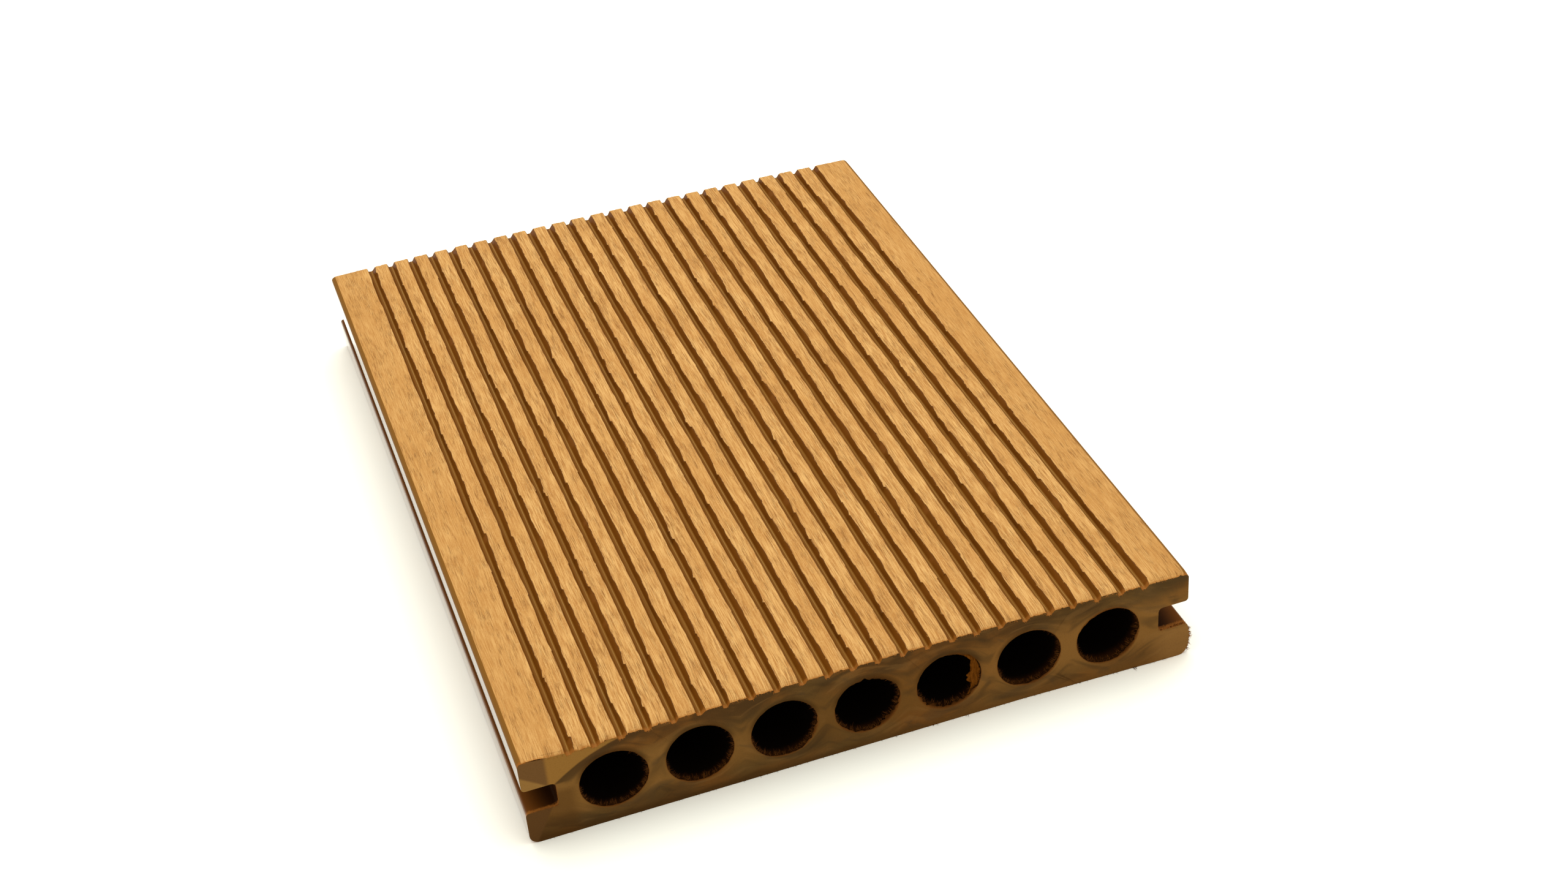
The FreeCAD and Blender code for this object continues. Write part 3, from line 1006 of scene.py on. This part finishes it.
# How strongly the flow lines bend: at 1 they would follow the rims of the bores
FLOW_BEND = 0.85
squared = sawn.math("MULTIPLY", distance, distance)
narrowing = sawn.math("DIVIDE", FLOW_BEND * (BORE_RADIUS / MM) ** 2, squared)
stream = sawn.math("MULTIPLY", upwards, sawn.math("SUBTRACT", 1.0, narrowing))
flow = sawn.add("ShaderNodeCombineXYZ", (sawn.across, sawn.along, stream)).outputs[0]
swirls = sawn.noise((16, 60, 4.5), detail=1, roughness=0.4, distortion=0.9, place=flow)
wisps = sawn.noise((8, 60, 1.9), detail=2, roughness=0.4, distortion=0.7, shift=15, place=flow)
clouds = sawn.noise((9, 60, 6), detail=2, distortion=1.0, shift=5)
warmth = sawn.noise((20, 60, 9), detail=2, shift=11)
speck = sawn.noise((0.3, 10, 0.3), detail=2, shift=33)

# %% Sawn material: layers and clouds
colour = sawn.blend(sawn.ramp(warmth, 0.42, 0.64), paint(104, 75, 36), paint(120, 77, 32))
colour = sawn.lay(colour, sawn.ramp(swirls, 0.46, 0.70), 0.75, paint(80, 58, 30))
middle_height = sawn.ramp(sawn.math("ABSOLUTE", upwards), 8.0, 3.0)
outwards = sawn.ramp(sawn.math("ABSOLUTE", sawn.across), 8.0, 44.0)
web_colour = sawn.blend(outwards, paint(120, 80, 32), paint(156, 109, 50))
colour = sawn.lay(colour, middle_height, 0.6, web_colour)
roof = sawn.both(sawn.ramp(sawn.up, 17.0, 19.5), sawn.ramp(clouds, 0.62, 0.4))
colour = sawn.lay(colour, roof, 0.65, paint(80, 56, 28))
floor_layer = sawn.ramp(sawn.math("MULTIPLY_ADD", clouds, 2.0, sawn.up), 3.4, 1.6)
# Painted light: right of the middle, below the walking face, the face is painted lighter
right_painted_light = sawn.both(sawn.ramp(sawn.across, 5.0, 40.0), sawn.ramp(sawn.up, 20.0, 16.0))
colour = sawn.lay(colour, right_painted_light, 0.32, paint(148, 101, 46))
colour = sawn.lay(colour, sawn.ramp(wisps, 0.50, 0.72), 0.45, paint(70, 52, 28))
colour = sawn.lay(colour, sawn.ramp(wisps, 0.46, 0.28), 0.25, paint(150, 107, 55))
colour = sawn.lay(colour, sawn.ramp(clouds, 0.56, 0.70), 0.4, paint(84, 64, 38))
floor_colour = sawn.blend(sawn.ramp(sawn.across, -30.0, 40.0), paint(80, 53, 22), paint(118, 79, 34))
colour = sawn.lay(colour, floor_layer, 0.75, floor_colour)
right_lip = sawn.both(sawn.ramp(sawn.across, 62.0, 69.0), sawn.ramp(sawn.up, 8.6, 7.0))
colour = sawn.lay(colour, right_lip, 0.6, paint(160, 114, 58))

# %% [markdown]
# ### Facets and torn rims of the sawn face
#
# At the near left corner facets catch the light differently, and that light and shade is painted: an arc
# from the slot to the walking face parts a pale, lit facet from a band of painted shade below it. The
# edge of the lower left lip has a dark facet of painted shade too. All of them are masks, so that the
# mesh stays simple. Burrs that stand inside a bore's true radius are darker towards their tips, the
# upper rims are painted in shade on the left, and the torn fringe under the walking face takes the
# orange of torn fibre.

# %% Sawn material: facets
at_near_end = sawn.math("LESS_THAN", sawn.along, 0.0)
# The middle of the arc that parts two facets, in millimetres across and up, and its radius
ARC_MIDDLE = (-43.2, -13.2)
ARC_RADIUS = 35.6
arc_sideways = sawn.math("SUBTRACT", sawn.across, ARC_MIDDLE[0])
arc_upwards = sawn.math("SUBTRACT", sawn.up, ARC_MIDDLE[1])
arc = sawn.math("SUBTRACT", sawn.far(arc_sideways, arc_upwards), ARC_RADIUS)
left_part = sawn.both(sawn.ramp(sawn.across, -42.0, -47.0), at_near_end)
left_part = sawn.both(left_part, sawn.ramp(sawn.up, 13.6, 14.2))
# Painted shade: a band of shade below the arc
facet_shade = sawn.both(sawn.ramp(arc, -2.8, -0.8), left_part)
colour = sawn.lay(colour, facet_shade, 0.75, paint(76, 54, 28))
# Painted light and shade of the facets: a lit pale facet, its shaded left end and a lit triangle
pale = sawn.both(sawn.ramp(arc, -0.2, 0.3), left_part)
colour = sawn.blend(pale, colour, paint(158, 112, 50))
shaded = sawn.both(pale, sawn.ramp(sawn.across, -67.0, -68.0))
colour = sawn.blend(shaded, colour, paint(120, 84, 44))
under_diagonal = sawn.math("MULTIPLY_ADD", sawn.across, 0.74, sawn.up)
triangle = sawn.both(shaded, sawn.ramp(under_diagonal, -35.6, -36.4))
colour = sawn.blend(triangle, colour, paint(158, 116, 58))
lip_line = sawn.math("MULTIPLY_ADD", sawn.up, -0.5, sawn.across)
# Painted shade: the dark facet at the edge of the lower left lip
lip = sawn.both(sawn.ramp(lip_line, -71.2, -71.8), sawn.ramp(sawn.up, 8.4, 8.0))
lip = sawn.both(lip, at_near_end)
colour = sawn.blend(lip, colour, paint(112, 78, 42))
left_web = sawn.both(sawn.ramp(sawn.across, -61.0, -64.0), sawn.ramp(sawn.up, 13.0, 11.0))
colour = sawn.lay(colour, left_web, 0.5, paint(86, 54, 20))
colour = sawn.lay(colour, sawn.ramp(speck, 0.5, 0.75), 0.15, paint(70, 42, 16))

# %% Sawn material: burrs, rims and fringe
RIM = BORE_RADIUS / MM
frayed = sawn.math("MULTIPLY_ADD", speck, 0.6, distance)
burr = sawn.ramp(frayed, RIM + 0.5, RIM)
colour = sawn.lay(colour, burr, 0.8, paint(114, 66, 22))
burr_tip = sawn.ramp(frayed, RIM + 0.3, RIM - 0.6)
colour = sawn.lay(colour, burr_tip, 0.85, paint(58, 28, 4))
# Painted shade: the upper rims of the bores on the left are darkened
shaded_upper_rims = sawn.both(sawn.ramp(distance, RIM + 1.2, RIM), sawn.ramp(upwards, 0.5, 4.0))
shaded_upper_rims = sawn.both(shaded_upper_rims, sawn.ramp(sawn.across, 44.0, 30.0))
colour = sawn.lay(colour, shaded_upper_rims, 0.6, paint(58, 38, 13))
from_crown = sawn.math("MULTIPLY", sawn.across, MM / HALF_WIDTH)
uncrowned = sawn.math("MULTIPLY_ADD", sawn.math("MULTIPLY", from_crown, from_crown), CROWN / MM, sawn.up)
fringe = sawn.ramp(sawn.math("MULTIPLY_ADD", speck, 0.5, uncrowned), 22.55, 22.8)
colour = sawn.lay(colour, fringe, 0.9, paint(176, 104, 32))
sawn_material = sawn.surface(colour, sawn.math("ADD", clouds, speck), 0.04 * MM)

# %% [markdown]
# ### Bore walls, fibres and flap
#
# Hardly any light reaches into the bores, so their walls darken within the first few millimetres. Each
# fibre's own tint picks its colour between dark brown and orange. The flap is as dull as torn plastic
# is, with flecks.

# %% Bore wall, fibre and flap materials
bore_wall = Recipe("bore_wall", 0.5, 0.1)
bore_lines = bore_wall.noise((0.5, 60, 0.5), detail=2)
colour = bore_wall.blend(bore_lines, paint(52, 26, 6), paint(72, 38, 9))
depth = bore_wall.math("SUBTRACT", FAR_END / MM, bore_wall.math("ABSOLUTE", bore_wall.along))
colour = bore_wall.blend(bore_wall.ramp(depth, 0.2, 3.2), colour, paint(16, 7, 2))
bore_material = bore_wall.surface(colour, bore_lines, 0.02 * MM)

fibre = Recipe("torn_fibre", 0.6, 0.1)
tint = fibre.add("ShaderNodeAttribute", attribute_name="tint").outputs["Fac"]
fibre_material = fibre.surface(fibre.blend(tint, paint(66, 31, 4), paint(196, 122, 46)))

shred = Recipe("torn_flap", 0.8, 0.0)
flecked = shred.noise((0.35, 0.8, 1.6), detail=4, roughness=0.7)
flap_colour = shred.blend(shred.ramp(flecked, 0.35, 0.65), paint(88, 46, 7), paint(120, 68, 17))
flap_material = shred.surface(flap_colour, flecked, 0.03 * MM)

# %% Give every piece its materials
for material in (brushed_material, skin_material, groove_material, sawn_material, bore_material):
    decking_board.data.materials.append(material)
torn_fibres.data.materials.append(fibre_material)
rib_burrs.data.materials.append(brushed_material)
torn_flap.data.materials.append(flap_material)
print("surfaces:", [material.name for material in decking_board.data.materials])

# %% [markdown]
# ## Floor
#
# The board lies on a sheet of white paper. Its picture was overexposed, so only the deepest part of the
# shadow is left. A brighter lamp would bleach the board too, so the paper has two faces: real paper for
# the light that it throws back on the board, and a paler one for the camera and for mirror reflections.
# Far from the board the paler one fades into pure white.

# %% Floor
FLOOR_SIZE = 3.0
REAL_PAPER = (0.88, 0.88, 0.86, 1)
OVEREXPOSED_PAPER = (1.37, 1.36, 1.19, 1)
DISTANT_PAPER = (1.9, 1.9, 1.9, 1)
# From where to where the paper fades, in millimetres from the board's middle
FADE_START = 350.0
FADE_END = 1300.0
floor_bm = bmesh.new()
bmesh.ops.create_grid(floor_bm, x_segments=1, y_segments=1, size=FLOOR_SIZE)
floor_mesh = bpy.data.meshes.new("floor")
floor_bm.to_mesh(floor_mesh)
floor_bm.free()
floor = bpy.data.objects.new("floor", floor_mesh)
bpy.context.scene.collection.objects.link(floor)

paper = Recipe("studio_floor", 0.9, 0.1)
paper.shader.inputs["Base Color"].default_value = REAL_PAPER
away = paper.add("ShaderNodeVectorMath", (paper.place,), operation="LENGTH").outputs["Value"]
shade = paper.blend(paper.ramp(away, FADE_START, FADE_END), OVEREXPOSED_PAPER, DISTANT_PAPER)
seen = paper.add("ShaderNodeBsdfDiffuse", (shade,)).outputs[0]
rays = paper.add("ShaderNodeLightPath").outputs
direct = paper.math("MAXIMUM", rays["Is Camera Ray"], rays["Is Glossy Ray"])
two_faced = paper.add("ShaderNodeMixShader", (direct, paper.shader.outputs[0], seen)).outputs[0]
output = next(node for node in paper.tree.nodes if node.type == "OUTPUT_MATERIAL")
paper.tree.links.new(two_faced, output.inputs["Surface"])
floor_mesh.materials.append(paper.material)
print("floor:", 2 * FLOOR_SIZE, "m wide")

# %% [markdown]
# ## Light
#
# One large soft lamp hangs above the board, a little behind it and to its right. The world fills the
# shadows with even light. The camera sees the world at full white, brighter than the light that it
# gives.

# %% Light and world
WORLD_LIGHT = 0.62
LAMP_SIZE = 1.2
LAMP_POWER = 7.4
LAMP_PLACE = (0.08, 0.20, 0.97)
world = bpy.data.worlds.new("studio")
world.use_nodes = True
background = world.node_tree.nodes["Background"]
background.inputs["Color"].default_value = (1.0, 1.0, 1.0, 1)
world_rays = world.node_tree.nodes.new("ShaderNodeLightPath")
strength = world.node_tree.nodes.new("ShaderNodeMath")
strength.operation = "MAXIMUM"
strength.inputs[1].default_value = WORLD_LIGHT
world.node_tree.links.new(world_rays.outputs["Is Camera Ray"], strength.inputs[0])
world.node_tree.links.new(strength.outputs[0], background.inputs["Strength"])
bpy.context.scene.world = world

softbox = bpy.data.lights.new("softbox", "AREA")
softbox.shape = "SQUARE"
softbox.size = LAMP_SIZE
softbox.energy = LAMP_POWER
lamp = bpy.data.objects.new("softbox", softbox)
lamp.location = LAMP_PLACE
lamp.rotation_euler = (-lamp.location).to_track_quat("-Z", "Y").to_euler()
bpy.context.scene.collection.objects.link(lamp)
print("lamp:", softbox.size, "m wide,", LAMP_POWER, "W")

# %% [markdown]
# ## Camera
#
# The camera stands where the photograph's perspective puts it. Its place and its three turns were found
# from the straight edges, the grooves and the bores: it faces the near end, looks down on it and is
# rolled a little.

# %% Camera
LENS_LENGTH = 50.908
SENSOR_WIDTH = 36.0
CAMERA_PLACE = (-0.11172, -0.41862, 0.32212)
CAMERA_HEADING = math.radians(17.151)
CAMERA_DIP = math.radians(35.761)
CAMERA_ROLL = math.radians(4.586)
lens = bpy.data.cameras.new("camera")
lens.sensor_width = SENSOR_WIDTH
lens.lens = LENS_LENGTH
camera = bpy.data.objects.new("camera", lens)
turn = Matrix.Rotation(-CAMERA_HEADING, 4, "Z")
turn = turn @ Matrix.Rotation(math.pi / 2 - CAMERA_DIP, 4, "X")
turn = turn @ Matrix.Rotation(-CAMERA_ROLL, 4, "Z")
camera.matrix_world = Matrix.Translation(CAMERA_PLACE) @ turn
bpy.context.scene.collection.objects.link(camera)
bpy.context.scene.camera = camera
bpy.context.scene.view_settings.view_transform = "Standard"
print("camera height:", CAMERA_PLACE[2], "m")
